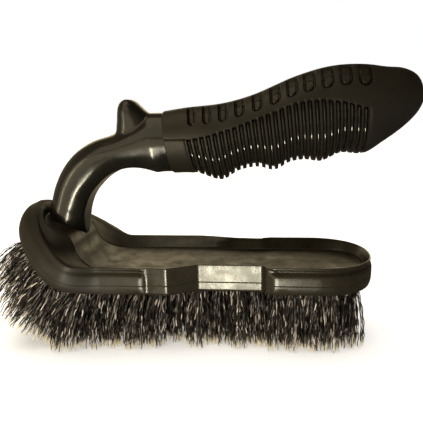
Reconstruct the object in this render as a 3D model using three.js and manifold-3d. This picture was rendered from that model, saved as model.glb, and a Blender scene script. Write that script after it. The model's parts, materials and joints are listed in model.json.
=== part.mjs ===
// Hand-held wall brush: a block with an upturned nose, a soft bumper round it, an overhanging handle
// with a ribbed soft grip, and rows of bristle tufts. Millimetres, +Z up, nose towards -X, heel
// towards +X. The trimmed bristle tips of the flat part stand on Z = 0.

import * as THREE from 'three';
import { mergeVertices } from 'three/addons/utils/BufferGeometryUtils.js';
import Module from 'manifold-3d';

const wasm = await Module();
wasm.setup();

const { clamp, degToRad, lerp, mapLinear, smoothstep } = THREE.MathUtils;

// ---------------------------------------------------------------- driving dimensions

const FIT_GAP = 0.3; // clearance kept between two pieces that touch

// Block. Heights n are offsets from the rim plane, which is level and then bends up into the nose.
const RIM_Z = 39;
const UNDERSIDE = -12;
const TRAY_FLOOR = -4.6;
const FLANGE_TOP = -6.4; // the bumper covers the block's flange down to here
const FRONT_HALF_WIDTH = 27.1;
const REAR_HALF_WIDTH = 24.3;
const HEEL_END = 75;
const HEEL_ROUND_START = 50;
const HEEL_ROUNDNESS = 2.2; // exponent of the superellipse
const FLANGE_INSET = 2.6; // how far the flange's edge lies inside the rim

const BEND_X = -41.5; // the nose starts to turn up here
const BEND_RADIUS = 24.7;
const BEND_ANGLE = degToRad(38.7);
const NOSE_LENGTH = 44.6; // along the rim, from the start of the bend
const FLARE_RUN = 13; // the nose is widest this far along
const FLARE_HALF_WIDTH = 33.4;
const NOSE_ROUNDNESS = 1.6;

// Raised floor panel: its edge is the seam in the tray.
const PANEL_HALF_WIDTH = 18.6;
const PANEL_HEEL_END = 71.5;
const PANEL_HEEL_ROUND_START = 58;
const PANEL_NOSE_HALF_WIDTH = 12.5;
const PANEL_NOSE_RUN = 38;
const PANEL_NOSE_ROUND_START = 26;

// Finger waists in the long sides: [x, half-width of the rim].
const NEAR_WAIST = [[-23, 27.1], [-13, 26.1], [-2.7, 21.8], [0.7, 21], [26.8, 21], [28.4, 23.6], [31.5, 24.3]];
const FAR_WAIST = [[-5, 27.1], [2.6, 25.7], [13.2, 23], [23.5, 22], [26.8, 22], [28.4, 23.6], [31.5, 24.3]];

// The floor panel climbs to the handle's foot: [run along the nose, height above the rim plane].
const FLOOR_CLIMB = [[-6, TRAY_FLOOR], [3, -3.6], [12, 0.2], [20, 4.6], [27, 3.4], [33, 0.4], [40, -0.6]];

// Bristle tufts.
const BRISTLE_LENGTH = 27;
const NOSE_TIP_BRISTLE_LENGTH = 21;
const TUFT_PITCH_X = 8.2; // along the block's underside
const TUFT_PITCH_Y = 7.8;
const TUFT_COLUMNS = 19;
const FIRST_TUFT_X = 65.6;
const TUFT_EDGE_MARGIN = 2.7; // from a tuft's centre to the flange's edge
const HOLE_RADIUS = 2.1;
const HOLE_DEPTH = 4.4;
const TUFT_ROOT_RADIUS = 1.4;
const TUFT_TIP_RADIUS = 4.4;

// Grip: the side view's top and bottom points and the half-width at each station.
const GRIP = [
  { top: [-17.1, 103.2], bottom: [-13.0, 75.8], half: 12.2 },
  { top: [-6.0, 104.7], bottom: [-2.6, 75.6], half: 12.6 },
  { top: [6.2, 105.7], bottom: [8.7, 72.4], half: 13.4 },
  { top: [14.8, 107.2], bottom: [16.6, 76.4], half: 13.6 },
  { top: [23.5, 109.7], bottom: [25.0, 78.0], half: 13.8 },
  { top: [31.2, 112.8], bottom: [32.2, 76.6], half: 14.2 },
  { top: [38.2, 115.7], bottom: [39.0, 80.0], half: 14.6 },
  { top: [44.8, 117.9], bottom: [45.4, 81.0], half: 14.9 },
  { top: [52.2, 119.8], bottom: [52.6, 80.4], half: 15.1 },
  { top: [60.0, 120.8], bottom: [60.4, 83.8], half: 15.0 },
  { top: [69.2, 120.7], bottom: [69.6, 83.6], half: 14.6 },
  { top: [77.6, 119.5], bottom: [78.0, 88.8], half: 13.4 },
  { top: [84.6, 118.7], bottom: [85.2, 94.2], half: 11.4 },
  { top: [90.0, 115.8], bottom: [90.4, 99.6], half: 8.4 },
  { top: [93.0, 110.0], bottom: [93.2, 104.4], half: 3.4 },
];
const SLEEVE_THICKNESS = 1.8;
const COLLAR_STEP = 1; // the neck is this much smaller than the sleeve where they meet

// Neck of the handle core from the foot to the collar: outer (nose side) and inner points.
const NECK = [
  { top: [-74.4, 48.8], bottom: [-56.8, 35.0], half: 9.6 },
  { top: [-73.0, 58.0], bottom: [-55.6, 54.0], half: 9.4 },
  { top: [-71.6, 63.5], bottom: [-54.2, 60.6], half: 8.8 },
  { top: [-69.0, 71.0], bottom: [-51.8, 66.0], half: 8.8 },
  { top: [-64.6, 78.8], bottom: [-48.2, 70.4], half: 9.0 },
  { top: [-58.0, 85.8], bottom: [-43.4, 74.6], half: 9.4 },
  { top: [-49.8, 90.6], bottom: [-37.4, 77.6], half: 10.0 },
  { top: [-40.6, 93.4], bottom: [-31.6, 78.7], half: 10.5 },
  { top: [-31.4, 97.6], bottom: [-25.6, 78.3], half: 11.0 },
  { top: [-23.4, 101.6], bottom: [-19.2, 77.4], half: 11.2 },
];
const NECK_INNER_FLATNESS = 1.7; // 1 is a plain ellipse, more turns the inner face flat
const FOOT_STATIONS = 3; // the first stations stand in the block's socket

// Thumb stop: a fin on top of the neck, as stations from its root to its tip.
const THUMB_STOP = [
  { top: [-42.0, 88.0], bottom: [-20.5, 94.0], half: 7.8 },
  { top: [-38.6, 95.0], bottom: [-21.0, 100.0], half: 7.8 },
  { top: [-37.9, 99.5], bottom: [-23.2, 102.0], half: 7.6 },
  { top: [-37.5, 102.8], bottom: [-25.4, 103.8], half: 7.2 },
  { top: [-37.0, 105.2], bottom: [-27.5, 105.7], half: 6.4 },
  { top: [-36.0, 107.2], bottom: [-29.3, 107.2], half: 5.0 },
  { top: [-34.4, 108.3], bottom: [-31.0, 108.3], half: 2.6 },
];

// Ribs: the sleeve is cut away between them, from this line in the side view down.
const RIB_LINE = [[-14, 91.2], [-4.3, 91.2], [2.9, 92.6], [15, 96.1], [29.4, 101.5], [38.2, 105], [44, 106.4],
  [51.5, 106.7], [60.2, 105.4], [68, 103]];
const RIB_GAPS = 27;
const FIRST_GAP_X = -4.3; // measured on the rib line
const LAST_GAP_X = 67.6;
const GAP_SHARE = 0.5; // of the rib pitch
const FIRST_GAP_LEAN = degToRad(10);
const LAST_GAP_LEAN = degToRad(0.5);

// Screws that hold the foot, driven from under the nose.
const SCREW_RUNS = [20.6, 28.6];
const SCREW_HEAD_RADIUS = 2.7;
const SCREW_SHANK_RADIUS = 1.5;
const SCREW_HEAD_HEIGHT = 2;
const SCREW_HEAD_BASE = -10.6; // the head's lower face, above the block's underside
const SCREW_SHANK_LENGTH = 9.5;
const SCREW_CLEAR_RADIUS = 4.95; // no tuft's centre is nearer to a screw's
const SOCKET_FLOOR = -6.2;

const COLOURS = { satin: 0x1a1a13, gloss: 0x0d0d0c, soft: 0x1d1d16, steel: 0x8d8f92, bristle: 0x37383a };

// ---------------------------------------------------------------- solids

/** A manifold solid from a closed three.js geometry. */
function solidOf(geometry) {
  const bare = geometry.index ? geometry.toNonIndexed() : geometry.clone();
  bare.deleteAttribute('normal');
  bare.deleteAttribute('uv');
  const merged = mergeVertices(bare, 1e-3);
  const triVerts = realTriangles(merged.index.array);
  const vertProperties = new Float32Array(merged.attributes.position.array);
  const solid = new wasm.Manifold(new wasm.Mesh({ numProp: 3, vertProperties, triVerts }));
  if (solid.volume() > 0) return solid;
  const turned = Uint32Array.from(triVerts).reverse();
  return new wasm.Manifold(new wasm.Mesh({ numProp: 3, vertProperties, triVerts: turned }));
}

/** The triangles whose three vertices differ. A lathe leaves others where its profile meets the axis. */
function realTriangles(index) {
  const kept = [];
  for (let i = 0; i < index.length; i += 3) {
    const [a, b, c] = [index[i], index[i + 1], index[i + 2]];
    if (a !== b && b !== c && c !== a) kept.push(a, b, c);
  }
  return Uint32Array.from(kept);
}

/** A named mesh from a manifold solid. */
function meshOf(name, solid, material) {
  const { vertProperties, triVerts } = solid.getMesh();
  const geometry = new THREE.BufferGeometry();
  geometry.setAttribute('position', new THREE.Float32BufferAttribute(vertProperties, 3));
  geometry.setIndex(Array.from(triVerts));
  geometry.computeVertexNormals();
  const mesh = new THREE.Mesh(geometry, material);
  mesh.name = name;
  return mesh;
}

/**
 * A closed skin through rings of points, each an array of Vector3 of one length. It is a lathe with every
 * vertex put in place: capped at both ends, or with the last ring joined to the first when `loops` is set.
 */
function skin(rings, loops = false) {
  const around = rings[0].length;
  const rows = loops ? [...rings, rings[0]] : [capRing(rings[0]), ...rings, capRing(rings[rings.length - 1])];
  const profile = rows.map((_, i) => new THREE.Vector2(1, i));
  const geometry = new THREE.LatheGeometry(profile, around);
  const position = geometry.attributes.position;
  for (let i = 0; i < position.count; i += 1) {
    const turn = Math.floor(i / rows.length) % around;
    position.setXYZ(i, ...rows[i % rows.length][turn].toArray());
  }
  return solidOf(geometry);
}

/** A ring shrunk to its middle, which closes the end of a skin. */
function capRing(ring) {
  const middle = ring.reduce((sum, point) => sum.add(point), new THREE.Vector3()).divideScalar(ring.length);
  return ring.map(() => middle);
}

// ---------------------------------------------------------------- the block's outlines

/** Straight-line interpolation in a list of [x, value] pairs. */
function along(pairs, x) {
  const last = pairs.length - 1;
  if (x <= pairs[0][0]) return pairs[0][1];
  if (x >= pairs[last][0]) return pairs[last][1];
  const i = pairs.findIndex(([next]) => x < next);
  return mapLinear(x, pairs[i - 1][0], pairs[i][0], pairs[i - 1][1], pairs[i][1]);
}

/** From the block's flattened coordinates (u along, y across, n above the rim plane) to space. */
function bend(u, y, n) {
  const run = Math.max(0, BEND_X - u);
  const turned = Math.min(run / BEND_RADIUS, BEND_ANGLE);
  const straight = run - turned * BEND_RADIUS;
  const reach = BEND_RADIUS - n;
  const x = Math.max(u, BEND_X) - reach * Math.sin(turned) - straight * Math.cos(turned);
  const z = RIM_Z + BEND_RADIUS - reach * Math.cos(turned) + straight * Math.sin(turned);
  return new THREE.Vector3(x, y, z);
}

/** Superellipse fall from 1 at t = 0 to 0 at t = 1. */
const roundOff = (t, roundness) => (1 - clamp(t, 0, 1) ** roundness) ** (1 / roundness);

/** Half-width of the rim on one side (-1 near, +1 far); `plain` leaves the waist out. */
function rimHalf(u, side, plain = false) {
  const run = BEND_X - u;
  if (run > FLARE_RUN) {
    return FLARE_HALF_WIDTH * roundOff((run - FLARE_RUN) / (NOSE_LENGTH - FLARE_RUN), NOSE_ROUNDNESS);
  }
  if (run > 0) return lerp(FRONT_HALF_WIDTH, FLARE_HALF_WIDTH, smoothstep(run, 0, FLARE_RUN));
  if (u > HEEL_ROUND_START) {
    return REAR_HALF_WIDTH * roundOff((u - HEEL_ROUND_START) / (HEEL_END - HEEL_ROUND_START), HEEL_ROUNDNESS);
  }
  const waist = side < 0 ? NEAR_WAIST : FAR_WAIST;
  return along(plain ? [waist[0], waist[waist.length - 1]] : waist, u);
}

/** Half-width of the raised floor panel. */
function panelHalf(u) {
  const run = BEND_X - u;
  const width = lerp(PANEL_HALF_WIDTH, PANEL_NOSE_HALF_WIDTH, smoothstep(run, 0, 22));
  const noseRound = roundOff((run - PANEL_NOSE_ROUND_START) / (PANEL_NOSE_RUN - PANEL_NOSE_ROUND_START), 2);
  const heelRound = roundOff((u - PANEL_HEEL_ROUND_START) / (PANEL_HEEL_END - PANEL_HEEL_ROUND_START), 2.4);
  return width * noseRound * heelRound;
}

const RIM = { nose: BEND_X - NOSE_LENGTH, heel: HEEL_END, half: rimHalf };
const PANEL = { nose: BEND_X - PANEL_NOSE_RUN, heel: PANEL_HEEL_END, half: panelHalf };

/** The outline a given distance inside another, or outside it when the distance is negative. */
function insetOutline(outline, distance) {
  const sign = Math.sign(distance);
  const reaches = Array.from({ length: 17 }, (_, i) => (i / 8 - 1) * Math.abs(distance));
  const half = (u, side) => sign * Math.min(...reaches.map((reach) => (
    sign * outline.half(u + reach, side) - Math.sqrt(distance ** 2 - reach ** 2))));
  return { nose: outline.nose + distance, heel: outline.heel - distance, half };
}

const FLANGE = insetOutline(RIM, FLANGE_INSET);
const FLANGE_CLEARANCE = insetOutline(RIM, FLANGE_INSET - FIT_GAP);
const PANEL_CLEARANCE = insetOutline(PANEL, -FIT_GAP);

/** Fractions of an outline's length, closer at both ends, with the outline's own corners among them. */
function stationFractions(count) {
  const flare = [0, 0.25, 0.5, 0.75, 1].map((part) => [BEND_X - part * FLARE_RUN]);
  const corners = [...new Set([...flare, ...NEAR_WAIST, ...FAR_WAIST].map(([u]) => u))]
    .map((u) => mapLinear(u, RIM.nose, RIM.heel, 0, 1));
  const eased = Array.from({ length: count + 1 }, (_, i) => (1 - Math.cos((Math.PI * i) / count)) / 2)
    .filter((fraction) => corners.every((corner) => Math.abs(corner - fraction) > 0.008));
  return [...eased, ...corners].sort((a, b) => a - b);
}

const FRACTIONS = stationFractions(34);

/** Point of an outline, in flattened coordinates. */
function outlinePoint(outline, fraction, side) {
  const u = lerp(outline.nose, outline.heel, fraction);
  return new THREE.Vector2(u, side * Math.max(0, outline.half(u, side)));
}

/** Height of the panel's top above the rim plane. */
const floorAt = (u) => along(FLOOR_CLIMB, BEND_X - u);

// ---------------------------------------------------------------- block

/** A slab inside an outline, between two heights that may change along it. */
function slab(outline, bottomAt, topAt) {
  const edge = 0.01; // keeps the two sides apart at the slab's ends
  const rings = FRACTIONS.map((fraction) => {
    const near = outlinePoint(outline, fraction, -1);
    const far = outlinePoint(outline, fraction, 1);
    const row = (n) => [-1, -1 / 3, 1 / 3, 1].map((across) => {
      const y = lerp(near.y - edge, far.y + edge, (across + 1) / 2);
      return bend(near.x, y, n);
    });
    return [...row(bottomAt(near.x)), ...row(topAt(near.x)).reverse()];
  });
  return skin(rings);
}

/** Turns a solid that stands on the block's rim plane at u = 0, y = 0 to its place on the block. */
function placeOnBlock(geometry, u, y, n) {
  const origin = bend(u, y, n);
  const up = bend(u, y, n + 1).sub(origin);
  const turn = new THREE.Quaternion().setFromUnitVectors(new THREE.Vector3(0, 0, 1), up);
  return geometry.clone().rotateX(Math.PI / 2).applyQuaternion(turn).translate(origin.x, origin.y, origin.z);
}

/** An upright cylinder on the block: from n = bottom to n = top. */
function peg(u, y, bottom, top, bottomRadius, topRadius, sides) {
  const geometry = new THREE.CylinderGeometry(topRadius, bottomRadius, top - bottom, sides);
  return solidOf(placeOnBlock(geometry.translate(0, (top - bottom) / 2, 0), u, y, bottom));
}

const screwPlaces = SCREW_RUNS.map((run) => [BEND_X - run, 0]);

/** Position along the rim of a point this far along the underside, which runs round a wider bend. */
function rimPositionOf(underside) {
  const run = Math.max(0, BEND_X - underside);
  const bendRun = BEND_ANGLE * (BEND_RADIUS - UNDERSIDE);
  if (run > bendRun) return BEND_X - BEND_ANGLE * BEND_RADIUS - (run - bendRun);
  return Math.max(underside, BEND_X) - (run * BEND_RADIUS) / (BEND_RADIUS - UNDERSIDE);
}

/** Centres of the tufts, by column from the heel to the nose; the screws' heads keep theirs clear. */
function tuftColumns() {
  const columns = [];
  for (let column = 0; column < TUFT_COLUMNS; column += 1) {
    const u = rimPositionOf(FIRST_TUFT_X - column * TUFT_PITCH_X);
    const shift = column % 2 ? 0.5 : 0;
    const places = [];
    for (let step = -5; step <= 5; step += 1) {
      const y = (step + shift) * TUFT_PITCH_Y;
      const inside = Math.abs(y) + TUFT_EDGE_MARGIN <= FLANGE.half(u, Math.sign(y) || 1);
      const clear = screwPlaces.every(([su, sy]) => Math.hypot(u - su, y - sy) > SCREW_CLEAR_RADIUS);
      if (inside && clear) places.push(y);
    }
    columns.push({ u, places });
  }
  return columns;
}

const COLUMNS = tuftColumns();

function brushBlock() {
  const flange = slab(FLANGE, () => UNDERSIDE, () => FLANGE_TOP);
  const panel = slab(PANEL, () => FLANGE_TOP - 1, floorAt);
  const holes = COLUMNS.flatMap(({ u, places }) => places.map((y) => (
    peg(u, y, UNDERSIDE - 1, UNDERSIDE + HOLE_DEPTH, HOLE_RADIUS, HOLE_RADIUS, 6))));
  const screwHoles = screwPlaces.flatMap(([u, y]) => [
    peg(u, y, UNDERSIDE - 1, SCREW_HEAD_BASE + SCREW_HEAD_HEIGHT + FIT_GAP,
      SCREW_HEAD_RADIUS + FIT_GAP, SCREW_HEAD_RADIUS + FIT_GAP, 12),
    peg(u, y, SCREW_HEAD_BASE, SOCKET_FLOOR + 1, SCREW_SHANK_RADIUS + FIT_GAP, SCREW_SHANK_RADIUS + FIT_GAP, 10),
  ]);
  const cuts = wasm.Manifold.union([footSocket(), ...holes, ...screwHoles]);
  return flange.add(panel).subtract(cuts);
}

// ---------------------------------------------------------------- bumper

const VALLEY = -3.2; // dip between the panel's seam and the rim
const TIP_SWELL = 3; // the bumper is this much fatter round the nose's tip

/** Section of the bumper at one station: an array of points that runs once round it. */
function bumperSection(fraction, side, outward) {
  const rim = outlinePoint(RIM, fraction, side);
  const seam = outlinePoint(PANEL_CLEARANCE, fraction, side);
  const flange = outlinePoint(FLANGE_CLEARANCE, fraction, side);
  const run = BEND_X - rim.x;
  const tip = smoothstep(run, 28, NOSE_LENGTH);
  const moulded = 1 - clamp((rimHalf(rim.x, side, true) - rimHalf(rim.x, side)) / 3, 0, 1);
  const outside = (offset, n) => bend(rim.x + outward.x * offset, rim.y + outward.y * offset, n);
  const inside = (share, n) => bend(lerp(rim.x, flange.x, share), lerp(rim.y, flange.y, share), n);
  const valley = seam.clone().lerp(rim, 0.5);
  return [
    bend(seam.x, seam.y, floorAt(seam.x)),
    bend(valley.x, valley.y, lerp(VALLEY, 1.4, smoothstep(run, 30, 42))),
    inside(0.85, 1.6 * tip),
    outside(TIP_SWELL * 0.3 * tip, 1.2 * tip),
    outside(TIP_SWELL * 0.6 * tip, -1.4),
    inside(0.38 * moulded * (1 - tip), -3),
    outside(TIP_SWELL * tip, -4.6),
    outside(0.7 * moulded + TIP_SWELL * tip, -6.8),
    outside(0.7 * moulded + TIP_SWELL * 0.9 * tip, -8.8),
    outside(TIP_SWELL * 0.5 * tip, -10.9),
    inside(0.5 * (1 - tip), UNDERSIDE),
    bend(flange.x, flange.y, UNDERSIDE),
    bend(flange.x, flange.y, FLANGE_TOP + FIT_GAP),
    bend(seam.x, seam.y, FLANGE_TOP + FIT_GAP),
  ];
}

function bumper() {
  const ends = 0.001; // the two tips are stations too, a hair off the outline's very end
  const inner = FRACTIONS.slice(1, -1);
  const stations = [
    ...[ends, ...inner].map((fraction) => ({ fraction, side: -1 })),
    ...[1 - ends, ...[...inner].reverse()].map((fraction) => ({ fraction, side: 1 })),
  ];
  const rimPoints = stations.map(({ fraction, side }) => outlinePoint(RIM, fraction, side));
  const rings = stations.map(({ fraction, side }, i) => {
    const before = rimPoints[(i + rimPoints.length - 1) % rimPoints.length];
    const after = rimPoints[(i + 1) % rimPoints.length];
    const direction = after.clone().sub(before).normalize();
    return bumperSection(fraction, side, new THREE.Vector2(direction.y, -direction.x));
  });
  return skin(rings, true);
}

// ---------------------------------------------------------------- handle

/** Side-view stations made smooth: `count` of them along the given ones, each { top, bottom, half }. */
function smoothStations(stations, count) {
  const curve = (key) => new THREE.CatmullRomCurve3(
    stations.map((station) => new THREE.Vector3(station[key][0], station.half, station[key][1])));
  const [tops, bottoms] = [curve('top'), curve('bottom')];
  return Array.from({ length: count }, (_, i) => {
    const top = tops.getPoint(i / (count - 1));
    const bottom = bottoms.getPoint(i / (count - 1));
    return { top: [top.x, top.z], bottom: [bottom.x, bottom.z], half: top.y };
  });
}

/** Ring of points round one station, `inset` inside it, with a flatter lower side when asked. */
function handleRing({ top, bottom, half }, inset, flatness = 1) {
  const sides = 14;
  const upper = new THREE.Vector3(top[0], 0, top[1]);
  const lower = new THREE.Vector3(bottom[0], 0, bottom[1]);
  const middle = upper.clone().lerp(lower, 0.5);
  const axis = upper.clone().sub(middle);
  const reach = axis.length() - inset;
  axis.normalize();
  return Array.from({ length: sides }, (_, i) => {
    const angle = (2 * Math.PI * (i + 0.5)) / sides;
    const rise = Math.sin(angle) < 0 ? Math.max(-1, Math.sin(angle) * flatness) : Math.sin(angle);
    const point = middle.clone().addScaledVector(axis, rise * reach);
    point.y = Math.cos(angle) * (half - inset);
    return point;
  });
}

/** A station moved along X. */
const shifted = ({ top, bottom, half }, dx) => (
  { top: [top[0] + dx, top[1]], bottom: [bottom[0] + dx, bottom[1]], half });

const GRIP_STATIONS = smoothStations(GRIP, 29);
const HOLLOW_STATIONS = GRIP_STATIONS.slice(0, -2); // the grip's end is solid

function gripSleeve() {
  const outer = skin(GRIP_STATIONS.map((station) => handleRing(station, 0)));
  const mouth = shifted(GRIP_STATIONS[0], -3);
  const hollow = skin([mouth, ...HOLLOW_STATIONS].map((station) => handleRing(station, SLEEVE_THICKNESS)));
  return outer.subtract(hollow).subtract(ribGaps());
}

/** The gaps between the ribs, as boxes that hang from the rib line. */
function ribGaps() {
  const height = 60;
  const pitch = (LAST_GAP_X - FIRST_GAP_X) / (RIB_GAPS - 1);
  const gaps = Array.from({ length: RIB_GAPS }, (_, i) => {
    const x = FIRST_GAP_X + i * pitch;
    const box = new THREE.BoxGeometry(pitch * GAP_SHARE, height, height).translate(0, 0, -height / 2);
    box.rotateY(-lerp(FIRST_GAP_LEAN, LAST_GAP_LEAN, i / (RIB_GAPS - 1)));
    return solidOf(box.translate(x, 0, along(RIB_LINE, x)));
  });
  return wasm.Manifold.union(gaps);
}

/** The neck's rings near the foot, grown by `growth`, with the first moved down to a given depth. */
function footRings(growth) {
  return NECK.slice(0, FOOT_STATIONS).map((station) => handleRing(station, -growth, NECK_INNER_FLATNESS));
}

/** Everything above the socket's floor, as a block that keeps what it meets. */
function aboveSocketFloor(floor) {
  const size = 60;
  const keeper = new THREE.BoxGeometry(size, size, size).translate(0, size / 2, 0);
  const middleRun = (SCREW_RUNS[0] + SCREW_RUNS[1]) / 2;
  return solidOf(placeOnBlock(keeper, BEND_X - middleRun, 0, floor));
}

/** Room in the block for the handle's foot. */
function footSocket() {
  return skin(footRings(FIT_GAP)).intersect(aboveSocketFloor(SOCKET_FLOOR));
}

const thumbStop = () => skin(THUMB_STOP.map((station) => handleRing(station, 0)));

function handleCore() {
  const tangInset = SLEEVE_THICKNESS + FIT_GAP;
  const collar = shifted(GRIP_STATIONS[0], -FIT_GAP);
  const tang = HOLLOW_STATIONS.slice(0, -1);
  const rings = [
    ...smoothStations(NECK, 19).map((station) => handleRing(station, 0, NECK_INNER_FLATNESS)),
    handleRing(collar, COLLAR_STEP, 1.2),
    handleRing(collar, tangInset),
    ...tang.slice(1).map((station) => handleRing(station, tangInset)),
  ];
  const seated = skin(rings).intersect(aboveSocketFloor(SOCKET_FLOOR + FIT_GAP).add(skyBox()));
  const pilots = screwPlaces.map(([u, y]) => (
    peg(u, y, SOCKET_FLOOR - 1, SCREW_HEAD_BASE + SCREW_SHANK_LENGTH + 3,
      SCREW_SHANK_RADIUS + FIT_GAP, SCREW_SHANK_RADIUS + FIT_GAP, 10)));
  return seated.add(thumbStop()).subtract(wasm.Manifold.union(pilots));
}

/** A box over everything that is higher than the foot. */
function skyBox() {
  const size = 400;
  return solidOf(new THREE.BoxGeometry(size, size, size).translate(0, 0, size / 2 + 62));
}

// ---------------------------------------------------------------- fasteners and bristles

function footScrew([u, y]) {
  const top = SCREW_HEAD_BASE + SCREW_HEAD_HEIGHT;
  const head = peg(u, y, SCREW_HEAD_BASE, top, SCREW_HEAD_RADIUS, SCREW_HEAD_RADIUS, 12);
  return head.add(peg(u, y, top - 0.5, top + SCREW_SHANK_LENGTH, SCREW_SHANK_RADIUS, SCREW_SHANK_RADIUS, 10));
}

/** One tuft: a bundle that spreads from its hole to its trimmed end. */
function tuft(u, y) {
  const run = BEND_X - u;
  const length = lerp(BRISTLE_LENGTH, NOSE_TIP_BRISTLE_LENGTH, smoothstep(run, 25, NOSE_LENGTH));
  const top = UNDERSIDE + HOLE_DEPTH - FIT_GAP;
  return peg(u, y, UNDERSIDE - length, top, TUFT_TIP_RADIUS, TUFT_ROOT_RADIUS, 6);
}

/** The rows of tufts across the block. Tufts meet where they spread; a row cut by a screw is two pieces. */
function tuftRows() {
  return COLUMNS.flatMap(({ u, places }, column) => {
    const bodies = wasm.Manifold.union(places.map((y) => tuft(u, y))).decompose();
    const name = `tuft_row_${String(column + 1).padStart(2, '0')}`;
    return bodies.map((solid, i) => ({ name: bodies.length > 1 ? `${name}_${i + 1}` : name, solid }));
  });
}

// ---------------------------------------------------------------- assembly

const plastic = (color, roughness) => new THREE.MeshStandardMaterial({ color, roughness, metalness: 0 });
const satinPlastic = plastic(COLOURS.satin, 0.45);
const glossPlastic = plastic(COLOURS.gloss, 0.2);
const softRubber = plastic(COLOURS.soft, 0.6);
const bristles = plastic(COLOURS.bristle, 0.5);
const steel = new THREE.MeshStandardMaterial({ color: COLOURS.steel, roughness: 0.35, metalness: 1 });

const brush = new THREE.Group();
brush.add(meshOf('brush_block', brushBlock(), satinPlastic));
brush.add(meshOf('bumper', bumper(), softRubber));
brush.add(meshOf('handle_core', handleCore(), glossPlastic));
brush.add(meshOf('grip_sleeve', gripSleeve(), softRubber));
screwPlaces.forEach((place, i) => brush.add(meshOf(`foot_screw_${i + 1}`, footScrew(place), steel)));
tuftRows().forEach(({ name, solid }) => brush.add(meshOf(name, solid, bristles)));

export default brush;
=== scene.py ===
"""Looks of the hand-held wall brush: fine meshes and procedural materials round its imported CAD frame.

Lengths are millimetres until a mesh is made, which is where they turn into metres. +X runs to the heel,
-X to the upturned nose, -Y is the near side, and the trimmed bristle tips stand on Z = 0.
"""
import json
import math

import bpy
import numpy as np
from mathutils import Matrix, Vector

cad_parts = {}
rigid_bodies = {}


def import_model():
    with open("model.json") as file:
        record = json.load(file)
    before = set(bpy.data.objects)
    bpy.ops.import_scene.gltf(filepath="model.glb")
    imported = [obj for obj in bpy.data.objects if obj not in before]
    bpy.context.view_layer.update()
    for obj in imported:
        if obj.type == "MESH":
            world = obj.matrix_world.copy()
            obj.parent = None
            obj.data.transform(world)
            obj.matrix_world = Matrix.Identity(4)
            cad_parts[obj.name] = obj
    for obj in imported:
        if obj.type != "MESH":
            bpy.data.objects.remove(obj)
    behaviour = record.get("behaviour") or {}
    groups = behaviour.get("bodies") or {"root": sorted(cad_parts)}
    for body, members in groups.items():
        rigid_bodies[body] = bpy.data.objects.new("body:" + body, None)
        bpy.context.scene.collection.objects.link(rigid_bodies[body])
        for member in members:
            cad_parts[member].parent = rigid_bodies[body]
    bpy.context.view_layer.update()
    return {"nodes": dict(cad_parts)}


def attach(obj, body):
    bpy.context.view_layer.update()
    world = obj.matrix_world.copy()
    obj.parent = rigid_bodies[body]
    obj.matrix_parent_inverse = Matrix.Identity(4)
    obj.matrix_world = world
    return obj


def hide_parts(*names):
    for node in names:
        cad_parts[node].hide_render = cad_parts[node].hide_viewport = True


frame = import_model()

MM = 0.001
rng = np.random.default_rng(11)

# ---------------------------------------------------------------- driving dimensions

RIM_Z = 39.0
UNDERSIDE = -12.0
TRAY_FLOOR = -4.6
FLANGE_TOP = -6.4
FRONT_HALF_WIDTH = 27.1
REAR_HALF_WIDTH = 24.3
HEEL_END = 75.0
HEEL_ROUND_START = 50.0
HEEL_ROUNDNESS = 2.2
FLANGE_INSET = 2.6

# The block bends up at BEND_X into a straight nose, which flares and then rounds off.
BEND_X = -41.5
BEND_RADIUS = 24.7
BEND_ANGLE = math.radians(38.7)
NOSE_LENGTH = 44.6
FLARE_RUN = 13.0
FLARE_HALF_WIDTH = 33.4
NOSE_ROUNDNESS = 1.6

# The raised floor panel, and the lip's share of the way from the rim to the panel's seam.
PANEL_HALF_WIDTH = 18.6
PANEL_HEEL_END = 71.5
PANEL_HEEL_ROUND_START = 58.0
PANEL_NOSE_NEAR_WIDTH = 18.5
PANEL_NOSE_FAR_WIDTH = 9.8
PANEL_NOSE_RUN = 38.0
PANEL_NOSE_ROUND_START = 26.0
SEAM_GAP = 0.3
LIP_SHARE = 0.24

# Finger waists in the long sides, as (along, half-width), and where they flatten the wall.
NEAR_WAIST = [(-23, 27.1), (-21.8, 26.7), (-13.1, 27.1), (-0.6, 21.1), (-0.3, 21.0), (26.8, 21.0),
              (27.2, 21.4), (28.4, 23.3), (31.5, 24.3)]
FAR_WAIST = [(-5, 27.1), (2.6, 25.7), (13.2, 23.0), (23.5, 22.0), (26.8, 22.0), (28.4, 23.3), (31.5, 24.3)]
NEAR_WAIST_START = -21.5
FAR_WAIST_START = -4.0
WAIST_FADE = 3.6
WAIST_END = (28.6, 33.5)

# The floor's climb to the handle's foot, as (run past the bend's start, height above the rim plane).
FLOOR_CLIMB = [(0, TRAY_FLOOR), (6, -3.9), (12, -1.6), (16, 1.6),
               (20, 4.6), (27, 3.4), (33, 0.4), (40, -0.6)]

# Zones of the bumper by run past the bend's start.
NOSE_TIP_START = 26
FRONT_ZONE = (-6, 14)
SWELL_ZONE = (18, 36)
WALL_SWELL = 1.5
TIP_RISE = 1.7

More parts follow.
